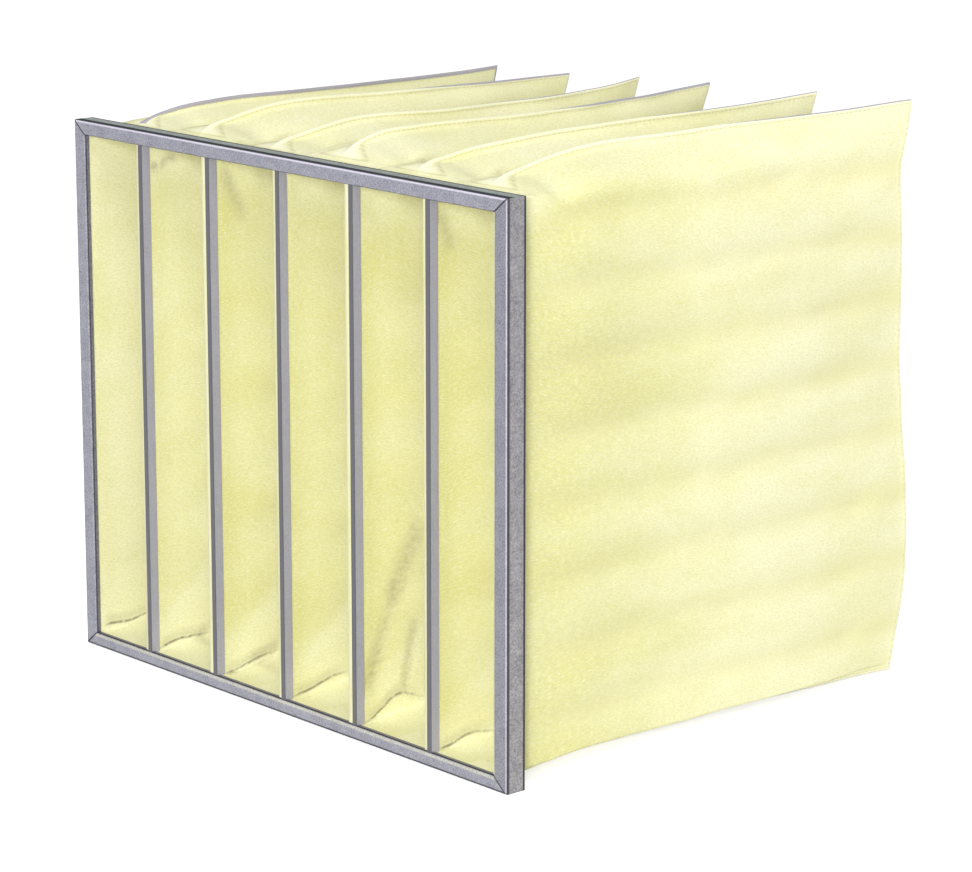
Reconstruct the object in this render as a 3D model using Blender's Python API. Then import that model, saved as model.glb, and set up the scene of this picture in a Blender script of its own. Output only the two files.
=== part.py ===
"""Bag air filter: a folded sheet-metal header frame that carries six tapering, quilted filter pockets.

Metres, +Z up. Air flows along +Y: the open pocket mouths are at the front, in the header, and the
pocket tips are at the rear. X is centred on the header, Y on the whole length, and the header's
underside is at Z = 0. Depth below means the distance behind the header's front face.
"""

import math

import bmesh
import bpy
import numpy as np

# Header frame: four folded channels, open to the rear, mitred at the corners
HEADER_WIDTH = 0.592
HEADER_HEIGHT = 0.490
HEADER_DEPTH = 0.020
RAIL_FACE_WIDTH = 0.013
STILE_FACE_WIDTH = 0.016
LIP_DEPTH = 0.005
RAIL_SHEET = 0.0009
BEND_RADIUS = 0.002
BEND_STEPS = 4

# Clearance between pieces that touch
TOUCH_GAP = 0.0003

# Corner plates behind the front flanges
CORNER_LEG = 0.045
CORNER_SHEET = 0.0012

# Retaining channels that clamp the pocket hems inside the header
RETAINER_DEPTH = 0.015
RETAINER_SHEET = 0.0009

# Divider clips between neighbouring pocket mouths
DIVIDER_WIDTH = 0.005
DIVIDER_DEPTH = 0.009
DIVIDER_SHEET = 0.0008
DIVIDER_TONGUE = 0.008

# Pockets
POCKET_COUNT = 6
FILTER_LENGTH = 0.500
MEDIA_THICKNESS = 0.004
SEAM_HEIGHT = 0.007
SEAM_THICKNESS = 0.0036
TOP_SHOULDER_HEIGHT = 0.026
TOP_SHOULDER_FULLNESS = 0.74
BOTTOM_SHOULDER_HEIGHT = 0.013
BOTTOM_SHOULDER_FULLNESS = 0.80
SIDE_FLARE = 0.0055
FLARE_LENGTH = 0.085
TAPER_POWER = 1.5
CAVITY_END = 0.90
LINING_LEAST = 0.3
# Where along a pocket its cross-sections lie behind the header, as shares of its length
SECTION_SHARES = (0.085, 0.16, 0.28, 0.48, 0.70, 0.88, 1.0)
WALL_GROWTH = 0.1

# Quilting: level grooves where thread ties a pocket's two walls together
GROOVE_COUNT = 8
FIRST_GROOVE = 0.050
LAST_GROOVE_INSET = 0.0235
GROOVE_DEPTH = 0.0075
GROOVE_LIMIT = 0.35
CREST_START = 0.27
CREST_SAG = 0.12

# How far each pocket's tip leans sideways, and how high its top seam stands above the header
# just behind the header and at the tip, from the left pocket to the right one
TIP_LEAN = (-0.034, -0.019, -0.023, -0.029, 0.011, 0.029)
SEAM_CREST = (0.013, 0.020, 0.016, 0.020, 0.019, 0.025)
SEAM_TIP = (0.011, 0.014, 0.019, 0.023, 0.028, 0.033)
BOTTOM_DROP = 0.012

# How far the rear edge is set back from the full length, from the bottom of a pocket to its top
REAR_SETBACK = ((0.0, 0.016), (0.18, 0.0), (0.5, 0.009), (0.75, 0.021), (0.88, 0.027), (1.0, 0.012))

FRONT_Y = -FILTER_LENGTH / 2
DIVIDER_PITCH = HEADER_WIDTH / POCKET_COUNT
GROOVE_PITCH = (HEADER_HEIGHT - FIRST_GROOVE - LAST_GROOVE_INSET) / (GROOVE_COUNT - 1)
HEM_THICKNESS = (DIVIDER_WIDTH - 2 * DIVIDER_SHEET - 3 * TOUCH_GAP) / 2
# Depths of the layers behind the front flange
PLATE_FRONT = RAIL_SHEET + TOUCH_GAP
HEM_FRONT = PLATE_FRONT + max(CORNER_SHEET, DIVIDER_SHEET) + TOUCH_GAP
RETAINER_FRONT = HEM_FRONT


def clear_scene():
    for obj in list(bpy.data.objects):
        bpy.data.objects.remove(obj, do_unlink=True)


def make_material(name, color, roughness, metallic):
    material = bpy.data.materials.new(name)
    material.use_nodes = True
    shader = material.node_tree.nodes["Principled BSDF"]
    shader.inputs["Base Color"].default_value = (*color, 1.0)
    shader.inputs["Roughness"].default_value = roughness
    shader.inputs["Metallic"].default_value = metallic
    return material


def add_mesh(name, points, faces, material, smooth_angle=None):
    """One named object from points and faces, with its faces turned outwards."""
    mesh = bpy.data.meshes.new(name)
    mesh.from_pydata([tuple(point) for point in points], [], faces)
    shape = bmesh.new()
    shape.from_mesh(mesh)
    bmesh.ops.recalc_face_normals(shape, faces=shape.faces)
    shape.to_mesh(mesh)
    shape.free()
    if smooth_angle is not None:
        mesh.shade_smooth()
        mesh.set_sharp_from_angle(angle=smooth_angle)
    mesh.materials.append(material)
    obj = bpy.data.objects.new(name, mesh)
    bpy.context.scene.collection.objects.link(obj)
    return obj


def bend_arc(center, radius, start, end):
    """Points of a fold's arc, with angles in degrees in the plane of (inset, depth)."""
    angles = np.radians(np.linspace(start, end, BEND_STEPS + 1))
    return [(center[0] + radius * math.cos(a), center[1] + radius * math.sin(a)) for a in angles]


def channel_section(outer, inner, front, outer_rear, inner_rear, sheet, radius):
    """Closed outline of a folded channel as (inset, depth) points.

    Its web faces the front between the insets outer and inner, and its two legs run back from it.
    """
    outer_center = (outer + radius, front + radius)
    inner_center = (inner - radius, front + radius)
    outline = [(outer, outer_rear)]
    outline += bend_arc(outer_center, radius, 180, 270)
    outline += bend_arc(inner_center, radius, 270, 360)
    outline += [(inner, inner_rear), (inner - sheet, inner_rear)]
    outline += bend_arc(inner_center, radius - sheet, 360, 270)
    outline += bend_arc(outer_center, radius - sheet, 270, 180)
    outline += [(outer + sheet, outer_rear)]
    return outline


def face_width(side):
    """Width of the front flange along one side of the header: top, bottom, left or right."""
    return RAIL_FACE_WIDTH if side in ("top", "bottom") else STILE_FACE_WIDTH


def hem_inset(side):
    """Distance from the header's outer edge in to the hem that is clamped along that side."""
    return face_width(side) - RAIL_SHEET - TOUCH_GAP - HEM_THICKNESS


def edge_point(side, along, inset, depth):
    """Point of the header beside one outer edge: along runs the length of that edge."""
    x, z = {
        "top": (along, HEADER_HEIGHT - inset),
        "bottom": (along, inset),
        "left": (inset - HEADER_WIDTH / 2, HEADER_HEIGHT / 2 + along),
        "right": (HEADER_WIDTH / 2 - inset, HEADER_HEIGHT / 2 + along),
    }[side]
    return (x, FRONT_Y + depth, z)


def add_mitred(name, side, section, material):
    """A section carried along one edge of the header, with both ends mitred.

    A mitre runs from the header's outer corner to the corner where the two flanges' inner edges meet.
    """
    length, neighbour = (HEADER_WIDTH, "left") if side in ("top", "bottom") else (HEADER_HEIGHT, "top")
    slope = face_width(neighbour) / face_width(side)
    mitre_gap = TOUCH_GAP / 2 * math.hypot(1, slope)
    points = []
    for end in (-1, 1):
        for inset, depth in section:
            points.append(edge_point(side, end * (length / 2 - inset * slope - mitre_gap), inset, depth))
    count = len(section)
    faces = [[i, (i + 1) % count, count + (i + 1) % count, count + i] for i in range(count)]
    faces.append(list(range(count)))
    faces.append(list(range(count, 2 * count)))
    return add_mesh(name, points, faces, material, math.radians(40))


def add_box(name, low, high, material):
    xs, ys, zs = zip(low, high)
    points = [(x, y, z) for x in xs for y in ys for z in zs]
    faces = [[0, 1, 3, 2], [4, 6, 7, 5], [0, 4, 5, 1], [2, 3, 7, 6], [0, 2, 6, 4], [1, 5, 7, 3]]
    return add_mesh(name, points, faces, material)


def cut_away(obj, cutters):
    """Cuts each cutter out of the object, and applies the cuts."""
    for cutter in cutters:
        cutter.hide_render = True
        cutter.display_type = "WIRE"
        cut = obj.modifiers.new("Notch", "BOOLEAN")
        cut.operation = "DIFFERENCE"
        cut.solver = "EXACT"
        cut.object = cutter
    graph = bpy.context.evaluated_depsgraph_get()
    mesh = bpy.data.meshes.new_from_object(obj.evaluated_get(graph))
    obj.modifiers.clear()
    obj.data = mesh
    for cutter in cutters:
        bpy.data.objects.remove(cutter, do_unlink=True)


def divider_center(index):
    """X of a divider's middle, where 0 is the header's left edge and POCKET_COUNT its right edge."""
    return index * DIVIDER_PITCH - HEADER_WIDTH / 2


def make_rails(steel):
    """The four rails. The lips of the top and bottom ones are notched for the divider clips."""
    names = {"top": "top_rail", "bottom": "bottom_rail", "left": "left_stile", "right": "right_stile"}
    half_notch = DIVIDER_WIDTH / 2 + TOUCH_GAP
    for side, name in names.items():
        face = face_width(side)
        section = channel_section(0, face, 0, HEADER_DEPTH, LIP_DEPTH, RAIL_SHEET, BEND_RADIUS)
        rail = add_mitred(name, side, section, steel)
        if side in ("left", "right"):
            continue
        lip = HEADER_HEIGHT - face if side == "top" else face
        cutters = []
        for index in range(1, POCKET_COUNT):
            x = divider_center(index)
            low = (x - half_notch, FRONT_Y + RAIL_SHEET, lip - 2 * BEND_RADIUS)
            high = (x + half_notch, FRONT_Y + 2 * LIP_DEPTH, lip + 2 * BEND_RADIUS)
            cutters.append(add_box("lip_notch", low, high, steel))
        cut_away(rail, cutters)


def make_retainers(steel):
    """Inner channels nested in the rails. Their inner legs press the pocket hems onto the lips."""
    outer = RAIL_SHEET + TOUCH_GAP
    rear = RETAINER_FRONT + RETAINER_DEPTH
    for side in ("top", "bottom", "left", "right"):
        inner = hem_inset(side) - TOUCH_GAP
        section = channel_section(outer, inner, RETAINER_FRONT, rear, rear, RETAINER_SHEET, BEND_RADIUS)
        add_mitred("retainer_" + side, side, section, steel)


def make_corner_plates(steel):
    """Flat L plates behind the mitres, between the front flanges and the retaining channels."""
    outer = BEND_RADIUS + TOUCH_GAP
    inner_across = STILE_FACE_WIDTH - BEND_RADIUS - TOUCH_GAP
    inner_down = RAIL_FACE_WIDTH - BEND_RADIUS - TOUCH_GAP
    for height, up in (("upper", 1), ("lower", -1)):
        for hand, right in (("left", -1), ("right", 1)):
            outline = [
                (outer, outer),
                (CORNER_LEG, outer),
                (CORNER_LEG, inner_down),
                (inner_across, inner_down),
                (inner_across, CORNER_LEG),
                (outer, CORNER_LEG),
            ]
            points = []
            for depth in (PLATE_FRONT, PLATE_FRONT + CORNER_SHEET):
                for across, down in outline:
                    x = right * (HEADER_WIDTH / 2 - across)
                    z = HEADER_HEIGHT / 2 + up * (HEADER_HEIGHT / 2 - down)
                    points.append((x, FRONT_Y + depth, z))
            count = len(outline)
            faces = [[i, (i + 1) % count, count + (i + 1) % count, count + i] for i in range(count)]
            faces += [list(range(count)), list(range(count, 2 * count))]
            add_mesh(f"corner_plate_{height}_{hand}", points, faces, steel)


def make_dividers(steel):
    """U clips that grip two pocket hems. Their webs end in tongues behind the rails' flanges."""
    half = DIVIDER_WIDTH / 2
    inside = half - DIVIDER_SHEET
    web_front = FRONT_Y + PLATE_FRONT
    web_rear = web_front + DIVIDER_SHEET
    leg_rear = web_front + DIVIDER_DEPTH
    leg_bottom = RAIL_FACE_WIDTH - RAIL_SHEET
    leg_top = HEADER_HEIGHT - leg_bottom
    tongue_bottom = RAIL_FACE_WIDTH - DIVIDER_TONGUE
    tongue_top = HEADER_HEIGHT - tongue_bottom
    section = [
        (-half, leg_rear), (-half, web_front), (half, web_front), (half, leg_rear),
        (inside, leg_rear), (inside, web_rear), (-inside, web_rear), (-inside, leg_rear),
    ]
    count = len(section)
    for index in range(1, POCKET_COUNT):
        center = divider_center(index)
        points = [(center + x, y, z) for z in (tongue_bottom, tongue_top) for x, y in section]
        faces = [[i, (i + 1) % count, count + (i + 1) % count, count + i] for i in range(count)]
        faces += [list(range(count)), list(range(count, 2 * count))]
        clip = add_mesh(f"divider_clip_{index}", points, faces, steel)
        cutters = []
        for low, high in ((0, leg_bottom), (leg_top, HEADER_HEIGHT)):
            corner = (center - DIVIDER_WIDTH, web_rear, low)
            far_corner = (center + DIVIDER_WIDTH, leg_rear + DIVIDER_DEPTH, high)
            cutters.append(add_box("leg_end", corner, far_corner, steel))
        cut_away(clip, cutters)


def smooth_step(value):
    value = np.clip(value, 0.0, 1.0)
    return value * value * (3 - 2 * value)


def pocket_rows(low, top, opened):
    """Heights of the rows up one side of a pocket, and each row's share of the quilting groove.

    Each side starts and ends with a seam, a shoulder and a crest, and has the grooves between. In
    the mouth, where opened is 0, the seam and the shoulder lie along the mouth's straight edge.
    """
    seam = SEAM_HEIGHT * opened
    bottom_shoulder, top_shoulder = BOTTOM_SHOULDER_HEIGHT * opened, TOP_SHOULDER_HEIGHT * opened
    grooves = FIRST_GROOVE + GROOVE_PITCH * np.arange(GROOVE_COUNT)
    heights = [low, low + seam, low + bottom_shoulder, (low + bottom_shoulder + grooves[0]) / 2]
    depths = [0.0, 0.0, CREST_SAG, 0.0]
    for groove in grooves[:-1]:
        heights += [groove, groove + GROOVE_PITCH * CREST_START, groove + GROOVE_PITCH * (1 - CREST_START)]
        depths += [1.0, CREST_SAG, CREST_SAG]
    heights += [grooves[-1], (top - top_shoulder + grooves[-1]) / 2]
    heights += [top - top_shoulder, top - seam, top]
    depths += [1.0, 0.0, CREST_SAG, 0.0, 0.0]
    return np.array(heights), np.array(depths)


def rim_rows():
    """Rows of a pocket's side that make its seam and shoulder: at the bottom, and at the top."""
    return [0, 1, 2], [-1, -2, -3]


def pocket_section(index, share, wall):
    """Both sides of one cross-section of a pocket, as rows of (x, z), bottom to top.

    share is the distance along the pocket, from 0 at its mouth to 1 at its tip. wall is 0 for the
    outer surface, and the distance inward from it for the lining of the pocket.
    """
    depth = HEM_FRONT + share * (FILTER_LENGTH - HEM_FRONT)
    behind = max(depth - HEADER_DEPTH, 0.0)
    opened = float(smooth_step(behind / FLARE_LENGTH))
    along = behind / (FILTER_LENGTH - HEADER_DEPTH)

    mouth_low = hem_inset("bottom")
    mouth_high = HEADER_HEIGHT - hem_inset("top")
    crest = HEADER_HEIGHT + SEAM_CREST[index]
    tip = HEADER_HEIGHT + SEAM_TIP[index]
    body_top = crest + (tip - crest) * along
    body_low = BOTTOM_DROP * (1 - along)
    top = mouth_high + (body_top - mouth_high) * opened
    low = mouth_low + (body_low - mouth_low) * opened
    row_height, grooves = pocket_rows(low, top, opened)

    left_mouth = divider_center(index) + TOUCH_GAP / 2
    right_mouth = divider_center(index + 1) - TOUCH_GAP / 2
    left_body, right_body = left_mouth, right_mouth
    if index == 0:
        left_mouth = hem_inset("left") - HEADER_WIDTH / 2
        left_body = left_mouth - SIDE_FLARE
    if index == POCKET_COUNT - 1:
        right_mouth = HEADER_WIDTH / 2 - hem_inset("right")
        right_body = right_mouth + SIDE_FLARE
    center = (left_mouth + right_mouth) / 2
    middle = center + TIP_LEAN[index] * along**TAPER_POWER

    seam = SEAM_THICKNESS / 2
    narrowing = 1 - along**TAPER_POWER
    sides = []
    for mouth, body in ((left_mouth, left_body), (right_mouth, right_body)):
        full = abs(mouth + (body - mouth) * opened - center)
        half = seam + (full - seam) * narrowing
        groove_depth = opened * min(GROOVE_DEPTH, GROOVE_LIMIT * half)
        body_half = half - groove_depth * grooves
        mouth_half = np.full(len(grooves), half)
        for rim, fullness in zip(rim_rows(), (BOTTOM_SHOULDER_FULLNESS, TOP_SHOULDER_FULLNESS)):
            body_half[rim] = (seam, seam, seam + (half - seam) * fullness)
            mouth_half[rim] = (seam, half / 2, half)
        row_half = mouth_half + (body_half - mouth_half) * opened
        if wall:
            sides.append(lining_rows(row_half, row_height, wall, opened, low, top))
        else:
            sides.append((row_half, row_height))
    (left_half, left_height), (right_half, right_height) = sides
    left = np.stack([middle - left_half, left_height], 1)
    right = np.stack([middle + right_half, right_height], 1)
    return depth, left, right, low, top


def lining_rows(row_half, row_height, wall, opened, low, top):
    """The rows of the pocket's lining: the outer rows moved inward by the wall."""
    inner_half = np.maximum(row_half - wall, LINING_LEAST * row_half)
    inner_height = row_height.copy()
    shoulders = (BOTTOM_SHOULDER_HEIGHT, TOP_SHOULDER_HEIGHT)
    for rim, edge, sign, shoulder in zip(rim_rows(), (low, top), (1, -1), shoulders):
        seam_end = SEAM_HEIGHT + wall
        mouth_offset = np.full(len(rim), wall)
        body_offset = np.array([seam_end, (seam_end + shoulder + wall) / 2, shoulder + wall])
        inner_height[rim] = edge + sign * (mouth_offset + (body_offset - mouth_offset) * opened)
        ridge_half, shoulder_half = inner_half[rim[0]], inner_half[rim[2]]
        inner_half[rim] = (min(ridge_half, shoulder_half), shoulder_half / 2, shoulder_half)
    return inner_half, inner_height


def rear_setback(share_of_height):
    heights, setbacks = zip(*REAR_SETBACK)
    return np.interp(share_of_height, heights, setbacks)


def pocket_ring(index, share, wall):
    """Closed ring of points round a pocket: up its right side and down its left side."""
    depth, left, right, low, top = pocket_section(index, share, wall)
    ring = np.concatenate([right, left[::-1]])
    setback = rear_setback((ring[:, 1] - low) / (top - low)) * share**2
    return np.stack([ring[:, 0], FRONT_Y + depth - setback, ring[:, 1]], 1)


def make_pockets(media):
    """Six sewn bags: an outer skin and a lining, joined round the mouth and closed at the tip."""
    header_share = (HEADER_DEPTH - HEM_FRONT) / (FILTER_LENGTH - HEM_FRONT)
    outer_shares = (0, header_share, *SECTION_SHARES)
    inner_shares = (0, header_share, *SECTION_SHARES[:-2], CAVITY_END)
    for index in range(POCKET_COUNT):
        rings = [pocket_ring(index, share, 0) for share in reversed(outer_shares)]
        for share in inner_shares:
            growth = float(smooth_step((share - header_share) / WALL_GROWTH))
            wall = HEM_THICKNESS + (MEDIA_THICKNESS - HEM_THICKNESS) * growth
            rings.append(pocket_ring(index, share, wall))
        points = np.concatenate(rings)
        count = len(rings[0])
        faces = []
        for row in range(len(rings) - 1):
            for i in range(count):
                a, b = row * count + i, row * count + (i + 1) % count
                faces.append([a, b, b + count, a + count])
        half = count // 2
        for start in (0, (len(rings) - 1) * count):
            for i in range(half - 1):
                faces.append([start + i, start + i + 1, start + count - 2 - i, start + count - 1 - i])
        add_mesh(f"pocket_{index + 1}", points, faces, media, math.radians(60))


def build():
    clear_scene()
    rail_steel = make_material("galvanised_rail", (0.42, 0.42, 0.47), 0.42, 0.9)
    inner_steel = make_material("galvanised_inner", (0.38, 0.39, 0.42), 0.45, 0.9)
    clip_steel = make_material("galvanised_clip", (0.30, 0.31, 0.34), 0.4, 0.9)
    media = make_material("filter_media", (0.86, 0.84, 0.52), 0.95, 0.0)
    make_rails(rail_steel)
    make_retainers(inner_steel)
    make_corner_plates(inner_steel)
    make_dividers(clip_steel)
    make_pockets(media)


build()
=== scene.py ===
import math

import bpy
import numpy as np
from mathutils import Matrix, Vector


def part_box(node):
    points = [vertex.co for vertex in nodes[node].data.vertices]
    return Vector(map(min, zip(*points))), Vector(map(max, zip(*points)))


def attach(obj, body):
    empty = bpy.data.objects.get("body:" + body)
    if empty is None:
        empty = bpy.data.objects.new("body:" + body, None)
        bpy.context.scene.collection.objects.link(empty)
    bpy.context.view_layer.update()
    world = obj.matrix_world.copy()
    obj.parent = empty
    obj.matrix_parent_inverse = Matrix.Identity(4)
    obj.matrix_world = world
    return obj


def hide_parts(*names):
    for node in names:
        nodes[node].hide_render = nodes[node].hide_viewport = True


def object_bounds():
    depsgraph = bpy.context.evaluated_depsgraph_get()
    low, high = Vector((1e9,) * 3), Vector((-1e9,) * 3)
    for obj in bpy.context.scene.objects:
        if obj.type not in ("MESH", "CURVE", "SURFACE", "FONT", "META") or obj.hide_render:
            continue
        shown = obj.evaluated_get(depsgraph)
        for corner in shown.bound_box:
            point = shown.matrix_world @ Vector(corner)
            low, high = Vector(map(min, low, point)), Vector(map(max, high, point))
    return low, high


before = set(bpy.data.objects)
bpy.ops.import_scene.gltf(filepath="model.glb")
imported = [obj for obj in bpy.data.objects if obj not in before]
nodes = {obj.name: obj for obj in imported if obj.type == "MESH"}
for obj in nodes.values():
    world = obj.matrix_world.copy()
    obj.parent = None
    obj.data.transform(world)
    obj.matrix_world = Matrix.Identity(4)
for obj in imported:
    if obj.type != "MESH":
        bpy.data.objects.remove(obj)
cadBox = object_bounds()
print("frame loaded:", len(nodes), "nodes")

# Places read from the frame. Depth means the distance behind the header's front face.
railLow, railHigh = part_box("top_rail")
touchGap = 0.0003
header = {
    "front": railLow.y,
    "depth": railHigh.y - railLow.y,
    "top": railHigh.z,
    "left": railLow.x,
    "right": railHigh.x,
    "railFace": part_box("bottom_rail")[1].z,
    "stileFace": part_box("left_stile")[1].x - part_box("left_stile")[0].x,
}
mouth = {
    "low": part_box("retainer_bottom")[1].z + touchGap,
    "high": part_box("retainer_top")[0].z - touchGap,
    "left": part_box("retainer_left")[1].x + touchGap,
    "right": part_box("retainer_right")[0].x - touchGap,
    "hemFront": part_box("pocket_1")[0].y - header["front"],
}
pocketNames = sorted(name for name in nodes if name.startswith("pocket_"))
pocketCount = len(pocketNames)
overallLength = cadBox[1].y - header["front"]
dividerX = [sum(corner.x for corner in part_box(f"divider_clip_{i}")) / 2 for i in range(1, pocketCount)]


# Shared curves and noise

def smoothStep(value):
    # 0 below 0, 1 above 1, and a cubic with level ends between
    value = np.clip(value, 0.0, 1.0)
    return value * value * (3 - 2 * value)


def growing(value, start, length):
    # 0 up to start, and 1 from a length past it
    return smoothStep((value - start) / length)


def fading(value, end, length):
    # 1 until a length before end, and 0 past it
    return smoothStep((end - value) / length)


def hump(value, middle, softness):
    # 1 at the middle, falling off as exp(-(distance / softness)^2)
    return np.exp(-(((value - middle) / softness) ** 2))


def smoothCurve(x, stations, values):
    # Cubic through the stations, where each slope is the mean of its two neighbours' slopes
    stations, values = np.asarray(stations, float), np.asarray(values, float)
    steps = np.diff(values) / np.diff(stations)
    slopes = np.concatenate([steps[:1], (steps[1:] + steps[:-1]) / 2, steps[-1:]])
    x = np.clip(x, stations[0], stations[-1])
    i = np.clip(np.searchsorted(stations, x) - 1, 0, len(steps) - 1)
    width = stations[i + 1] - stations[i]
    t = (x - stations[i]) / width
    return (
        values[i] * (1 + 2 * t) * (1 - t) ** 2
        + slopes[i] * width * t * (1 - t) ** 2
        + values[i + 1] * t * t * (3 - 2 * t)
        - slopes[i + 1] * width * t * t * (1 - t)
    )


def clouds(u, v, wavelength, seed, stretch=1.0, waves=11):
    # Sum of plane waves with random headings and phases, mostly within -1 to 1. stretch lengthens it along u.
    rng = np.random.default_rng(seed)
    total = np.zeros(np.broadcast(u, v).shape)
    for heading, phase, size in zip(*rng.uniform((0, 0, 0.7), (6.283, 6.283, 1.5), (waves, 3)).T):
        pitch = 6.283 / (wavelength * size)
        total += np.sin(pitch * (u * math.cos(heading) / stretch + v * math.sin(heading)) + phase)
    return total * math.sqrt(2 / waves) * 0.6


# Meshes from grids

def makePiece(name, points, faces, material, uv=None, attributes=None):
    mesh = bpy.data.meshes.new(name)
    mesh.from_pydata(points.tolist(), [], faces)
    mesh.shade_smooth()
    if uv is not None:
        corner = np.zeros(len(mesh.loops), np.int32)
        mesh.loops.foreach_get("vertex_index", corner)
        layer = mesh.uv_layers.new(name="UVMap")
        layer.data.foreach_set("uv", uv[corner].astype(np.float32).ravel())
    for key, values in (attributes or {}).items():
        layer = mesh.attributes.new(key, "FLOAT", "POINT")
        layer.data.foreach_set("value", values.astype(np.float32).ravel())
    mesh.materials.append(material)
    mesh.validate()
    piece = bpy.data.objects.new(name, mesh)
    bpy.context.scene.collection.objects.link(piece)
    return piece


def ringQuads(rings, count, start, outwards):
    # Quads between neighbouring closed rings of a grid whose points start at an index
    ring, slot = np.meshgrid(np.arange(rings - 1), np.arange(count), indexing="ij")
    a = start + ring * count + slot
    b = start + ring * count + (slot + 1) % count
    quads = [a, a + count, b + count, b] if outwards else [a, b, b + count, a + count]
    return np.stack(quads, -1).reshape(-1, 4).tolist()


def slitCap(start, count, outwards):
    # Closes a flat ring whose two sides face each other: row i up one side meets row i of the other
    half = count // 2
    near = start + np.arange(half + 1)
    far = start + (-np.arange(half + 1)) % count
    quads = np.stack([near[1:], near[:-1], far[:-1], far[1:]], -1)
    ends = np.array([[near[1], near[0], far[1]], [near[half], near[half - 1], far[half - 1]]])
    if not outwards:
        quads, ends = quads[:, ::-1], ends[:, ::-1]
    return quads[1:-1].tolist() + ends.tolist()


# Materials

def newMaterial(name, color, roughness, metallic=0.0):
    material = bpy.data.materials.new(name)
    material.use_nodes = True
    tree = material.node_tree
    shader = tree.nodes["Principled BSDF"]
    shader.inputs["Base Color"].default_value = (*color, 1)
    shader.inputs["Roughness"].default_value = roughness
    shader.inputs["Metallic"].default_value = metallic
    return material, tree, shader


def addNode(tree, kind, inputs=None, **settings):
    node = tree.nodes.new(kind)
    for key, value in settings.items():
        setattr(node, key, value)
    for key, value in (inputs or {}).items():
        if isinstance(value, bpy.types.NodeSocket):
            tree.links.new(value, node.inputs[key])
        else:
            node.inputs[key].default_value = value
    return node


def noiseAt(tree, place, scale, detail=3.0, roughness=0.55):
    return addNode(
        tree, "ShaderNodeTexNoise",
        {"Vector": place, "Scale": scale, "Detail": detail, "Roughness": roughness},
    ).outputs["Fac"]


def stretched(tree, place, scale):
    return addNode(tree, "ShaderNodeMapping", {"Vector": place, "Scale": scale}).outputs["Vector"]


def remap(tree, value, low, high, outLow=0.0, outHigh=1.0):
    return addNode(
        tree, "ShaderNodeMapRange",
        {"Value": value, "From Min": low, "From Max": high, "To Min": outLow, "To Max": outHigh},
    ).outputs["Result"]


def blend(tree, factor, first, second, mode="MIX"):
    node = addNode(tree, "ShaderNodeMix", data_type="RGBA", blend_type=mode)
    for key, value in (("Factor_Float", factor), ("A_Color", first), ("B_Color", second)):
        socket = next(s for s in node.inputs if s.identifier == key)
        if isinstance(value, bpy.types.NodeSocket):
            tree.links.new(value, socket)
        else:
            socket.default_value = (*value, 1) if isinstance(value, tuple) else value
    return next(s for s in node.outputs if s.identifier == "Result_Color")


def calc(tree, operation, first, second):
    node = addNode(tree, "ShaderNodeMath", {0: first, 1: second}, operation=operation)
    return node.outputs[0]


def named(tree, name):
    return addNode(tree, "ShaderNodeAttribute", attribute_name=name).outputs["Fac"]


def band(tree, value, low, high, soft):
    # 1 between two values, with soft ends
    rising = remap(tree, value, low - soft, low + soft)
    falling = remap(tree, value, high - soft, high + soft, 1, 0)
    return calc(tree, "MULTIPLY", rising, falling)


def addBump(tree, shader, height, distance, strength):
    bump = addNode(tree, "ShaderNodeBump", {"Height": height, "Distance": distance, "Strength": strength})
    tree.links.new(bump.outputs["Normal"], shader.inputs["Normal"])


mediaLook = {
    "pale": (0.950, 0.934, 0.625),
    "deep": (0.800, 0.782, 0.330),
    "fibreDark": (0.700, 0.670, 0.280),
    "fibreLight": (0.985, 0.980, 0.800),
    # painted shade in the quilting's grooves
    "crease": (0.790, 0.745, 0.350),
    # painted shade in folds, in the valleys between pockets and behind the header
    "darkShade": (0.420, 0.370, 0.220),
    # painted shade along the arch's fold
    "line": (0.250, 0.220, 0.140),
    # a pale hem, painted paler as a highlight on the ridge
    "hem": (0.970, 0.960, 0.740),
    "edge": (0.340, 0.320, 0.420),
    "thread": (0.640, 0.600, 0.360),
    "stitchPitch": 1.15,            # radians of stitching in each millimetre of seam
    "creaseShare": 0.45,            # how far each mark takes the colour to its own
    "darkShadeShare": 0.62,
    "foldShare": 0.90,
    "softFoldShare": 0.26,
    "hemHighlightShare": 0.65,
    "edgeShare": 0.85,
}


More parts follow.
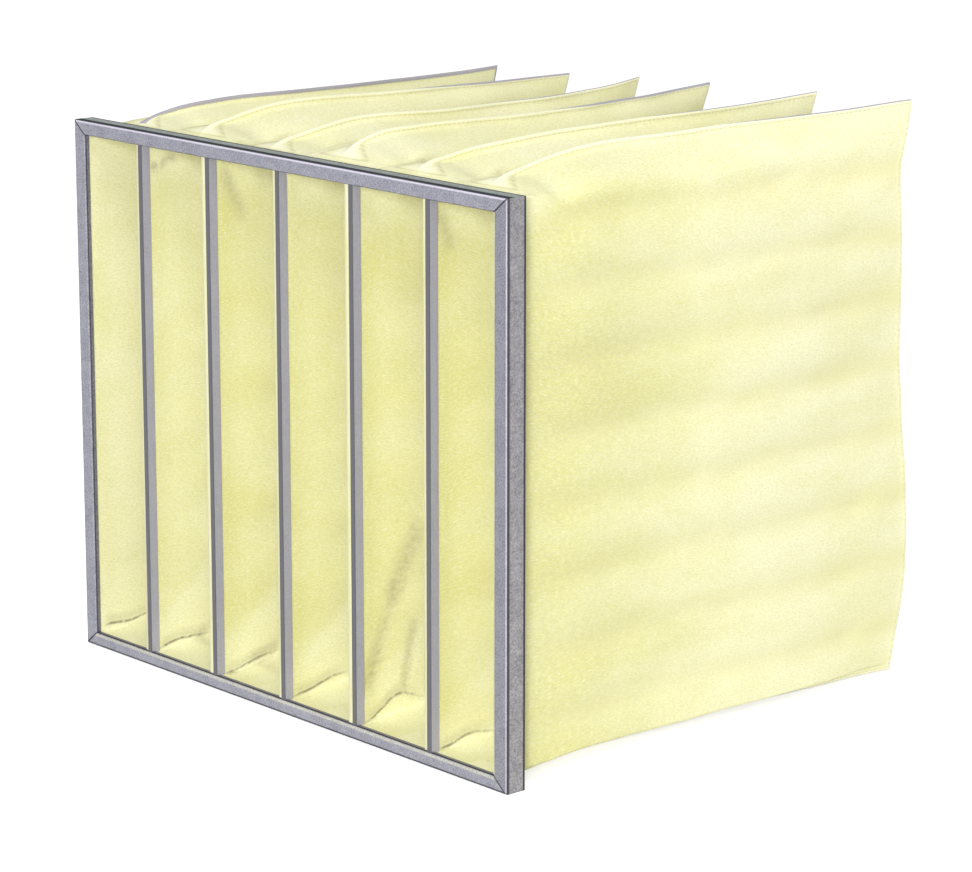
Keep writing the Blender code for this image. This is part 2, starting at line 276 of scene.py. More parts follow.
def mediaMaterial():
    # Bonded fibre mat: short fibres that lie mostly along the pocket, with denser and thinner patches.
    # The marks on the mesh: crease is painted shade in the quilting; the olive mark is painted shade in
    # folds, in the valleys between pockets and behind the header, with some darker patches; arch and
    # archReach as millimetres from a sharp fold and its strength, for a painted shade line along it; shade
    # as painted shade, which below 0 is painted light, with some darker patches; rim and run as
    # millimetres from and along the seam, edge as shares of the grey band's width.
    look = mediaLook
    material, tree, shader = newMaterial("filterMedia", look["pale"], 0.95)
    place = addNode(tree, "ShaderNodeUVMap", uv_map="UVMap").outputs["UV"]
    patches = remap(tree, noiseAt(tree, stretched(tree, place, (1, 1.9, 1)), 9, 3.0), 0.38, 0.64)
    mottle = remap(tree, noiseAt(tree, stretched(tree, place, (1, 1.7, 1)), 120, 4.0), 0.34, 0.68)
    fibres = noiseAt(tree, stretched(tree, place, (1, 2.2, 1)), 330, 4.0, 0.7)
    strands = noiseAt(tree, stretched(tree, place, (1, 3.6, 1)), 220, 4.0, 0.65)
    shadeSpecks = noiseAt(tree, stretched(tree, place, (1, 1.4, 1)), 150, 4.0, 0.65)
    tone = calc(tree, "ADD", calc(tree, "MULTIPLY", patches, 0.42), calc(tree, "MULTIPLY", mottle, 0.22))
    tone = calc(tree, "ADD", tone, named(tree, "shade"))
    color = blend(tree, remap(tree, tone, 0.05, 1.05), look["pale"], look["deep"])
    color = blend(tree, remap(tree, fibres, 0.42, 0.72, 0, 0.65), color, look["fibreDark"])
    color = blend(tree, remap(tree, strands, 0.50, 0.26, 0, 0.75), color, look["fibreLight"])
    # Painted shade in the quilting's grooves
    creased = remap(tree, named(tree, "crease"), 0, 1, 0, look["creaseShare"])
    color = blend(tree, creased, color, look["crease"])
    # Painted shade in folds, valleys and behind the header, broken up by fine specks
    darkShadeAmount = calc(tree, "MULTIPLY", named(tree, "darkShade"), remap(tree, shadeSpecks, 0.36, 0.62, 0.5, 1.1))
    color = blend(tree, remap(tree, darkShadeAmount, 0, 1, 0, look["darkShadeShare"]), color, look["darkShade"])
    # Painted shade along the arch's fold: a sharp dark line and a softer band above it
    sharp = band(tree, named(tree, "arch"), -1.2, 1.5, 0.9)
    soft = band(tree, named(tree, "arch"), -1, 8, 4.0)
    sharp = calc(tree, "MULTIPLY", sharp, remap(tree, shadeSpecks, 0.38, 0.54, 0.45, 1.0))
    sharp = calc(tree, "MULTIPLY", sharp, look["foldShare"])
    folded = calc(tree, "MAXIMUM", sharp, calc(tree, "MULTIPLY", soft, look["softFoldShare"]))
    color = blend(tree, calc(tree, "MULTIPLY", folded, named(tree, "archReach")), color, look["line"])
    rim = named(tree, "rim")
    # Pale hem along the seam, painted paler as a highlight on the ridge
    hemAndHighlight = calc(tree, "MULTIPLY", band(tree, rim, -1, 2.0, 0.4), look["hemHighlightShare"])
    color = blend(tree, hemAndHighlight, color, look["hem"])
    stitchPhase = calc(tree, "MULTIPLY", named(tree, "run"), look["stitchPitch"])
    dashes = addNode(tree, "ShaderNodeMath", {0: stitchPhase}, operation="SINE")
    stitch = remap(tree, dashes.outputs[0], -0.7, 0.1, 0.35, 0.75)
    thread = calc(tree, "MULTIPLY", band(tree, rim, 2.7, 3.5, 0.4), stitch)
    color = blend(tree, thread, color, look["thread"])
    edgeBand = remap(tree, named(tree, "edge"), 0.8, 1.15, look["edgeShare"], 0)
    color = blend(tree, edgeBand, color, look["edge"])
    tree.links.new(color, shader.inputs["Base Color"])
    shader.inputs["Specular IOR Level"].default_value = 0.15
    shader.inputs["Sheen Weight"].default_value = 0.10
    shader.inputs["Sheen Roughness"].default_value = 0.6
    height = calc(tree, "ADD", fibres, calc(tree, "MULTIPLY", strands, 0.8))
    addBump(tree, shader, height, 0.0011, 0.42)
    return material


steelLook = {
    # dark lines, some of them painted shade
    "line": (0.035, 0.033, 0.045),
    # painted highlight along the outer fold of the lit pieces
    "fold": (0.780, 0.740, 0.850),
    # painted reflection beside the bottom rail's inner edge
    "glint": (0.840, 0.820, 0.600),
    "faceDark": (0.190, 0.190, 0.235),
    "facePale": (0.440, 0.440, 0.505),
    # painted shade on the clip's front web
    "clipWeb": (0.120, 0.120, 0.138),
    "clipLegDark": (0.420, 0.420, 0.530),
    "clipLegPale": (0.520, 0.515, 0.645),
    "innerDark": (0.200, 0.205, 0.230),
    "innerPale": (0.400, 0.405, 0.440),
    "plain": (0.93, 0.93, 0.93),    # tints; the three after plain are painted shade, greener on the top
    "shadeTint": (0.76, 0.76, 0.75),
    "topSide": (0.66, 0.76, 0.62),
    "rightSide": (0.84, 0.81, 0.73),
}


def steelTone(tree, place, crystalSize, crystalShare):
    # Dull zinc crystals under a fine grain, 0 to 1
    warp = addNode(tree, "ShaderNodeTexNoise", {"Vector": place, "Scale": 160.0, "Detail": 2.0})
    shift = stretched(tree, warp.outputs["Color"], (0.004, 0.004, 0.004))
    warped = addNode(tree, "ShaderNodeVectorMath", {0: place, 1: shift}, operation="ADD").outputs[0]
    cells = addNode(tree, "ShaderNodeTexVoronoi", {"Vector": warped, "Scale": 1 / crystalSize})
    crystal = addNode(tree, "ShaderNodeSeparateColor", {"Color": cells.outputs["Color"]}).outputs[0]
    fine = noiseAt(tree, place, 620, 3.0, 0.75)
    broad = noiseAt(tree, place, 60, 4.0, 0.6)
    grain = remap(tree, fine, 0.34, 0.66, 0, 0.75)
    tone = calc(tree, "ADD", calc(tree, "MULTIPLY", crystal, crystalShare), grain)
    return calc(tree, "ADD", tone, remap(tree, broad, 0.3, 0.7, 0, 0.18)), fine


def headerSteel(name, upright, lit, faceTint, sideTint, glint=0.0):
    # Galvanised channel. Dark lines run along the mitres, the inner edge and the rear edge, and beside
    # the outer fold; the one at the inner edge is painted shade. The outer fold has a painted highlight on
    # the lit pieces and a dark line of painted shade on the rest. The tints are painted shade on the face
    # and the outer side, and glint is the strength of a painted reflection, a pale band on the face beside
    # the inner edge.
    material, tree, shader = newMaterial(name, (0.40, 0.40, 0.46), 0.5, 0.55)
    place = addNode(tree, "ShaderNodeTexCoord").outputs["Object"]
    split = addNode(tree, "ShaderNodeSeparateXYZ", {"Vector": place}).outputs
    halfWidth = (header["right"] - header["left"]) / 2
    middle = (header["left"] + header["right"]) / 2
    fromMiddle = calc(tree, "ABSOLUTE", calc(tree, "SUBTRACT", split[0], middle), 0)
    insetX = calc(tree, "SUBTRACT", halfWidth, fromMiddle)
    fromCentre = calc(tree, "ABSOLUTE", calc(tree, "SUBTRACT", split[2], header["top"] / 2), 0)
    insetZ = calc(tree, "SUBTRACT", header["top"] / 2, fromCentre)
    depth = calc(tree, "SUBTRACT", split[1], header["front"])
    inset = calc(tree, "MULTIPLY", insetX if upright else insetZ, 1000)
    face = 1000 * (header["stileFace"] if upright else header["railFace"])
    millimetres = calc(tree, "MULTIPLY", depth, 1000)

    tone, fine = steelTone(tree, place, 0.006, 0.16)
    color = blend(tree, remap(tree, tone, 0.10, 0.95), steelLook["faceDark"], steelLook["facePale"])
    onSide = calc(tree, "MULTIPLY", remap(tree, millimetres, 0.5, 1.0), remap(tree, inset, 2.5, 3.5, 1, 0))
    onFace = calc(tree, "SUBTRACT", 1, onSide)
    # The tints paint shade on the face and the outer side
    color = blend(tree, 1.0, color, blend(tree, onSide, faceTint, sideTint), "MULTIPLY")
    beside = calc(tree, "MULTIPLY", onSide, band(tree, millimetres, -1, 3.2 if upright else 7.5, 0.8))
    rear = calc(tree, "MULTIPLY", onSide, remap(tree, millimetres, 17.4, 18.6))
    # Painted shade at the inner edge, where the lip meets the cloth
    lip = remap(tree, inset, face - 0.9, face - 0.4)
    inner = calc(tree, "MULTIPLY", lip, remap(tree, millimetres, 1.6, 2.6, 1.0, 0.35))
    acrossX = calc(tree, "DIVIDE", insetX, header["stileFace"])
    acrossZ = calc(tree, "DIVIDE", insetZ, header["railFace"])
    apart = calc(tree, "ABSOLUTE", calc(tree, "SUBTRACT", acrossX, acrossZ), 0)
    mitre = calc(tree, "MULTIPLY", remap(tree, apart, 0.04, 0.09, 0.95, 0), onFace)
    lines = calc(tree, "MAXIMUM", calc(tree, "MAXIMUM", calc(tree, "MULTIPLY", beside, 0.9), rear), inner)
    lines = calc(tree, "MAXIMUM", lines, mitre)
    # Painted highlight on the lit pieces' outer fold; on the rest a dark line of painted shade
    foldWidth = (1.2 if upright else 1.9) if lit else (1.4 if upright else 2.2)
    foldBand = calc(tree, "MULTIPLY", band(tree, inset, -1, foldWidth, 0.4), onFace)
    if lit:
        foldShare = calc(tree, "MULTIPLY", foldBand, 0.35 if upright else 0.75)
        color = blend(tree, foldShare, color, steelLook["fold"])
    else:
        lines = calc(tree, "MAXIMUM", lines, calc(tree, "MULTIPLY", foldBand, 0.85))
    # Painted reflection: a pale band on the face beside the inner edge
    if glint:
        beforeLip = band(tree, inset, face - 3.4, face - 0.9, 0.7)
        paler = calc(tree, "MULTIPLY", beforeLip, remap(tree, fine, 0.4, 0.6, 0.4, 1))
        color = blend(tree, calc(tree, "MULTIPLY", paler, glint), color, steelLook["glint"])
    color = blend(tree, calc(tree, "MULTIPLY", lines, 0.92), color, steelLook["line"])
    tree.links.new(color, shader.inputs["Base Color"])
    tree.links.new(remap(tree, tone, 0.1, 1.0, 0.62, 0.46), shader.inputs["Roughness"])
    tree.links.new(remap(tree, lines, 0, 0.75, 0.5, 0), shader.inputs["Metallic"])
    tree.links.new(remap(tree, lines, 0, 0.75, 0.5, 0), shader.inputs["Specular IOR Level"])
    addBump(tree, shader, fine, 0.00015, 0.4)
    return material


def clipSteel():
    # Smooth strip with paler legs and a front web darkened as painted shade
    material, tree, shader = newMaterial("clipSteel", (0.36, 0.37, 0.43), 0.5, 0.35)
    place = addNode(tree, "ShaderNodeTexCoord").outputs["Object"]
    split = addNode(tree, "ShaderNodeSeparateXYZ", {"Vector": place}).outputs
    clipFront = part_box("divider_clip_1")[0].y
    behind = calc(tree, "MULTIPLY", calc(tree, "SUBTRACT", split[1], clipFront), 1000)
    tone, fine = steelTone(tree, place, 0.02, 0.05)
    leg = blend(tree, remap(tree, tone, 0.1, 1.0), steelLook["clipLegDark"], steelLook["clipLegPale"])
    color = blend(tree, remap(tree, behind, 0.35, 0.95, 1, 0), leg, steelLook["clipWeb"])
    tree.links.new(color, shader.inputs["Base Color"])
    addBump(tree, shader, fine, 0.00008, 0.25)
    return material


def innerSteel():
    # Rougher galvanised sheet of the channels and plates inside the header
    material, tree, shader = newMaterial("innerSteel", (0.30, 0.30, 0.34), 0.52, 0.6)
    place = addNode(tree, "ShaderNodeTexCoord").outputs["Object"]
    tone, fine = steelTone(tree, place, 0.007, 0.3)
    color = blend(tree, remap(tree, tone, 0.1, 1.1), steelLook["innerDark"], steelLook["innerPale"])
    tree.links.new(color, shader.inputs["Base Color"])
    addBump(tree, shader, fine, 0.00012, 0.35)
    return material


media = mediaMaterial()
plain, shadeTint = steelLook["plain"], steelLook["shadeTint"]
steels = {
    "top_rail": headerSteel("topRailSteel", False, True, plain, steelLook["topSide"]),
    "bottom_rail": headerSteel("bottomRailSteel", False, False, plain, shadeTint, 0.55),
    "left_stile": headerSteel("leftStileSteel", True, False, plain, shadeTint),
    "right_stile": headerSteel("rightStileSteel", True, True, shadeTint, steelLook["rightSide"]),
}
stripSteel, hiddenSteel = clipSteel(), innerSteel()
for name, node in nodes.items():
    if name.startswith("pocket_"):
        continue
    fallback = stripSteel if name.startswith("divider_") else hiddenSteel
    node.material_slots[0].material = steels.get(name, fallback)
print("materials made")


# Pockets

pocketShape = {
    "wall": 0.0040,                 # thickness of the mat
    "hem": 0.00125,                 # its thickness where the header clamps it
    "wallGrowth": 0.050,            # depth behind the header over which it recovers
    # Swelling of each pocket's lining on the right wall, which shows as a pale strip beside the clip;
    # its paleness is partly painted light.
    # It cuts through the header's steel there, and 0 leaves it out.
    "hemRoll": (0.0070, 0.0095, 0.0070, 0.0095, 0.0070, 0.0050),
    "hemRollDepth": 0.0040,
    "hemRollSoftness": 0.0030,
    "leastInner": 0.3,              # least half width of the lining, as a share of the skin's
    "seamHeight": 0.0055,           # flat edge outside the stitching
    "seamHalf": 0.0018,
    "liningSeam": (0.0012, 0.0006),  # the same two for the lining
    "topShoulder": (0.030, 0.056),  # just behind the header and farther back
    "shoulderGrowth": (0.080, 0.230),
    "bottomShoulder": 0.30,         # as a share of the half width, and at least
    "leastShoulder": 0.004,
    "shoulderPower": 3.0,
    "sideFlare": 0.0055,
    "openLength": 0.085,            # depth over which the bottom opens out
    "topOpenLength": 0.060,         # and the top
    "roundLength": 0.038,           # depth over which the mouth's square corners round off
    "taperPower": 1.5,
    "taperEnd": 0.985,              # share of the length at which the two sides meet
    "tipRound": 0.0035,             # last share of the length, over which the rear edge is rounded
    "tipLean": (-0.034, -0.019, -0.023, -0.029, 0.011, 0.029),
    "ridgeDepths": (0.020, 0.034, 0.068, 0.120, 0.250, 0.440, 0.500),
    "ridgeHeights": (
        (-0.0130, -0.0010, 0.0095, 0.0135, 0.0125, 0.0100, 0.0110),
        (-0.0130, 0.0020, 0.0120, 0.0200, 0.0180, 0.0140, 0.0135),
        (-0.0130, -0.0010, 0.0085, 0.0160, 0.0130, 0.0145, 0.0195),
        (-0.0130, 0.0035, 0.0185, 0.0210, 0.0180, 0.0205, 0.0235),
        (-0.0130, 0.0030, 0.0120, 0.0180, 0.0225, 0.0255, 0.0285),
        (-0.0130, 0.0020, 0.0130, 0.0230, 0.0270, 0.0305, 0.0330),
    ),
    "bottomFront": 0.0035,          # height of the bottom seam, front and rear
    "bottomRear": 0.0060,
    "rearHeights": (0.0, 0.18, 0.5, 0.75, 0.88, 1.0),
    "rearSetbacks": (0.016, 0.001, 0.009, 0.021, 0.027, 0.012),
    "grooveFirst": 0.050,
    "groovePitch": 0.0595,
    "grooveCount": 8,
    "grooveDepth": 0.0038,
    "grooveSoftness": 0.0140,
    "grooveWaver": 0.0022,
    "slack": 0.0014,                # broad unevenness, puckers, and gathers behind the header
    "pucker": 0.0003,
    "gather": 0.0046,
    "foldDepth": 0.0012,            # of the folds inside the mouth
    "sway": 0.0016,                 # of the seams from side to side
    "hang": 0.004,                  # of the rear from side to side
    "cavityEnd": 0.93,
    "rings": 138,
    "wallRows": 128,
    "shoulderRows": 22,
    "seamRows": 6,
    "liningSkip": 2,
    "edgeWidth": (3.4, 1.7, 0.6, 1.9, 0.6, 0.8),            # width of the grey band along each pocket's seam, mm
    "liningShade": (-0.22, 0.06, 0.36, 0.34, 0.42, 0.46),
    "archRise": (0.007, 0.006, 0.006, 0.006, 0.015, 0.006),
    "archDepth": (0.024, 0.028, 0.042, 0.048, 0.045, 0.042),
    # Darker patches on the near side: depth, height, reach along and up, strength
    "darkerPatches": (
        (0.120, 0.335, 0.130, 0.045, 0.40),
        (0.215, 0.094, 0.055, 0.022, 0.45),
        (0.320, 0.387, 0.100, 0.014, 0.30),
        (0.430, 0.415, 0.060, 0.020, 0.25),
    ),
    "valleyDrops": (0.029, 0.028, 0.020, 0.028, 0.023, 0.020),    # foot of the valley under each ridge
    # Folds on the inside of the left wall, with painted shade along them: pocket, depth and height at each
    # end, softness, strength
    "folds": (
        (1, 0.015, 0.456, 0.042, 0.466, 0.0024, 1.00),
        (1, 0.052, 0.014, 0.062, 0.026, 0.0050, 0.60),
        (2, 0.022, 0.462, 0.037, 0.427, 0.0060, 0.60),
        (2, 0.048, 0.020, 0.064, 0.028, 0.0070, 0.70),
        (4, 0.067, 0.174, 0.045, 0.125, 0.0090, 0.70),
        (4, 0.045, 0.125, 0.017, 0.050, 0.0070, 0.55),
        (4, 0.028, 0.070, 0.014, 0.040, 0.0080, 0.30),
        (4, 0.064, 0.090, 0.053, 0.043, 0.0045, 0.70),
        (5, 0.010, 0.472, 0.025, 0.440, 0.0070, 0.60),
    ),
}


# Where marks lie on the cloth. A pair is a start or end and a length, as growing and fading take
# them, or a middle and a softness, as hump takes them.
pocketMarks = {
    "room": (0.0, 0.32),            # share of the length over which the cloth slackens
    "gather": (0.062, 0.042),       # gathers behind the header, and the painted shade in their hollows
    "gatherShade": (0.040, 0.024),
    "upper": (0.80, 0.15),          # shares of the height that count as upper and lower
    "lower": (0.10, 0.08),
    "seamNear": (0.035, 0.03),      # softness of the sway beside the upper and lower seams
    "archLength": 0.022,
    "archWaver": 0.0015,
    "archStart": (0.008, 0.010),
    "archEnd": (0.078, 0.025),
    "archWall": (0.84, 0.12),
    "archSoftness": 0.0035,
    # Painted shade at the foot of the valley between two pockets
    "valleySlope": 0.15,            # the valley's foot rises towards the rear from this depth
    "valleyMiddle": 0.066,
    "valleyTop": (-0.007, 0.006),
    "valleyBottom": (0.060, 0.02),
    "valleyStart": (0.045, 0.015),
    "valleyEnd": (0.118, 0.045),
    "lowered": (0.012, 0.030),      # distance below the ridge
    "headerNear": (0.250, 0.20),         # the outermost sides: painted shade in front, painted light behind
    "headerShade": (0.10, 0.55),
    "headerDarkening": 0.27,
    "patchDarkening": 0.4,
    "paler": (0.20, 0.15),
    "palerShade": 0.16,
    "gapFront": (0.190, 0.15),      # painted shade on the sides that face a neighbour
    "gapFrontShade": 0.30,
    "gapDepth": (0.012, 0.06),
    "gapDepthShade": 0.46,
    "lobeRise": (0.040, 0.85, 0.012),   # painted light: height, slope and depth where the pale lobe's line starts
    "lobeSoftness": 0.022,
    "lobeEnd": (0.10, 0.02),
    "lobeShade": 0.50,
    # Painted light on the right wall near the mouth and near the top; painted shade, then light, on the left
    # wall
    "rightPale": (0.024, 0.006),
    "rightPaleShade": 0.6,
    "leftDark": (0.040, 0.03),
    "leftDarkShade": 0.30,
    "leftPale": (0.045, 0.035),
    "leftPaleShade": 0.40,
    "topPale": (0.425, 0.045),
    "topPaleShade": 0.55,
    "edgeBand": (0.30, 0.45),         # share of the length over which the grey band along the seam appears
    "hemEnd": (0.036, 0.012),       # no hem or stitching shows before this depth
}


def nearLine(depth, height, fold):
    # 1 on a straight fold, falling off as exp(-(distance / softness)^2)
    d0, z0, d1, z1, softness = fold
    reach = (d1 - d0) ** 2 + (z1 - z0) ** 2
    share = np.clip(((depth - d0) * (d1 - d0) + (height - z0) * (z1 - z0)) / reach, 0, 1)
    away = np.hypot(depth - d0 - share * (d1 - d0), height - z0 - share * (z1 - z0))
    return np.exp(-((away / softness) ** 2))


def rowShares(shape, skip=1):
    # Rows up one side of a pocket as (zone, share in zone): 0 seam and shoulder below, 1 wall, 2 above
    seam = np.linspace(0, 1, shape["seamRows"] // skip + 1)[:-1] ** 1.6
    rise = np.linspace(0, 1, shape["shoulderRows"] // skip + 1)[:-1]
    wall = np.linspace(0, 1, shape["wallRows"] // skip + 1)
    return seam, rise, wall


def sideProfile(shape, low, high, full, seamHeight, seamHalf, opening, skip=1):
    # One side of a section, bottom to top, as half widths and heights. In the body each end is a
    # thin seam, then a shoulder that swells as 1 - (1 - q)^power. In the mouth it is a rectangle.
    # opening holds, ring by ring, how far bottom, top and corners are on the way to the body, and
    # the height of the top shoulder.
    opened, risen, rounded, topShoulder = opening
    seam, rise, wall = rowShares(shape, skip)
    bottomShoulder = np.maximum(shape["bottomShoulder"] * full, shape["leastShoulder"])
    swell = np.concatenate([np.zeros(len(seam)), 1 - (1 - rise) ** shape["shoulderPower"]])
    blunt = np.sqrt(1 - (1 - np.clip(seam * seamHeight / max(seamHalf, 1e-6), 0, 1)) ** 2)
    thin = seamHalf * np.concatenate([blunt, np.ones(len(rise))])
    endHalf = thin + (full[:, None] - thin) * swell
    onSeam = np.concatenate([seam, np.ones(len(rise))]) * seamHeight
    onShoulder = np.concatenate([np.zeros(len(seam)), rise])
    lowZ = onSeam + onShoulder * bottomShoulder[:, None]
    highZ = onSeam + onShoulder * topShoulder[:, None]
    across = np.concatenate([seam * 0.15, 0.15 + rise * 0.85])
    bottom = low[:, None] + opened[:, None] * lowZ
    top = high[:, None] - risen[:, None] * highZ[:, ::-1]
    wallLow = low + opened * (seamHeight + bottomShoulder)
    wallHigh = high - risen * (seamHeight + topShoulder)
    middle = wallLow[:, None] + (wallHigh - wallLow)[:, None] * wall
    heights = np.concatenate([bottom, middle, top], 1)
    wide = np.repeat(full[:, None], len(wall), 1)
    bodyHalf = np.concatenate([endHalf, wide, endHalf[:, ::-1]], 1)
    mouthHalf = np.concatenate([full[:, None] * across, wide, full[:, None] * across[::-1]], 1)
    return mouthHalf + (bodyHalf - mouthHalf) * rounded[:, None], heights, wallLow


def quilting(d, heights, seed):
    # Sum of soft furrows, one at each groove, a little uneven along its length
    shape = pocketShape
    furrow = np.zeros_like(heights)
    grooves = shape["grooveFirst"] + shape["groovePitch"] * np.arange(shape["grooveCount"])
    for number, groove in enumerate(grooves):
        waver = shape["grooveWaver"] * clouds(d, d * 0, 0.21, seed + 40 + number)
        furrow += hump(heights - groove, waver, shape["grooveSoftness"])
    return furrow


def mouthFolds(index, sign, d, heights, free, wallLow, seed):
    # The lining's folds: the height above the arch where wall and bottom meet, the arch's strength,
    # and the strength of the single folds, which lie on the left wall
    shape, places = pocketShape, pocketMarks
    rise = shape["archRise"][index] * hump(d, shape["archDepth"][index], places["archLength"])
    waver = places["archWaver"] * clouds(d, d * 0, 0.06, seed + 8)
    arch = heights - wallLow[:, None] - rise - waver
    reach = growing(d, *places["archStart"]) * fading(d, *places["archEnd"])
    reach = reach * growing(free, *places["archWall"])
    fold = np.zeros_like(heights)
    if sign < 0:
        for owner, *line, strength in shape["folds"]:
            if owner == index:
                fold += strength * nearLine(d, heights, line)
    return arch, reach, fold


def valleyShade(index, d, heights, below, seed):
    # Painted shade at the foot of the valley between two pockets, just behind the header
    places = pocketMarks
    foot = pocketShape["valleyDrops"][index] - places["valleySlope"] * (d - places["valleyMiddle"])
    valley = growing(below - foot, *places["valleyTop"]) * fading(below, *places["valleyBottom"])
    valley = valley * growing(d, *places["valleyStart"]) * fading(d, *places["valleyEnd"])
    return 1.1 * valley * (0.75 + 0.25 * clouds(d, heights, 0.016, seed + 9, 2.0))


def skinShade(sign, isOuter, d, heights, below):
    # Painted shade and light on the outer skin: painted shade behind the header but not along the top,
    # painted light towards the rear, and painted shade deeper in the gap between two pockets. The near
    # side has darker patches too.
    places = pocketMarks
    lowered = growing(below, *places["lowered"])
    if not isOuter:
        shade = places["gapFrontShade"] * lowered * fading(d, *places["gapFront"])
        return shade + places["gapDepthShade"] * growing(below, *places["gapDepth"]), 0
    headerNear = fading(d, *places["headerNear"])
    least, more = places["headerShade"]
    shade = (least + more * lowered) * headerNear - places["palerShade"] * growing(d, *places["paler"])
    darkening = places["headerDarkening"] * headerNear * lowered
    if sign > 0:
        for patchDepth, patchHeight, reachAlong, reachUp, strength in pocketShape["darkerPatches"]:
            away = ((d - patchDepth) / reachAlong) ** 2 + ((heights - patchHeight) / reachUp) ** 2
            shade = shade + strength * np.exp(-away)
            darkening = darkening + places["patchDarkening"] * strength * np.exp(-away)
    return shade, darkening


def innerShade(index, sign, d, heights):
    # Painted light and shade on the lining: paler below a line that climbs from the mouth's lower corner,
    # and near the top, paler on the right wall near the mouth, and on the left wall darker near the mouth
    # and paler deeper in
    places = pocketMarks
    lineHeight, slope, lineDepth = places["lobeRise"]
    lobe = smoothStep((lineHeight + slope * (d - lineDepth) - heights) / places["lobeSoftness"] + 0.5)
    shade = pocketShape["liningShade"][index] - places["lobeShade"] * lobe * fading(d, *places["lobeEnd"])
    if sign > 0:
        shade = shade - places["rightPaleShade"] * fading(d, *places["rightPale"])
    else:
        shade = shade + places["leftDarkShade"] * fading(d, *places["leftDark"])
        shade = shade - places["leftPaleShade"] * growing(d, *places["leftPale"])
    return shade - places["topPaleShade"] * growing(heights, *places["topPale"])


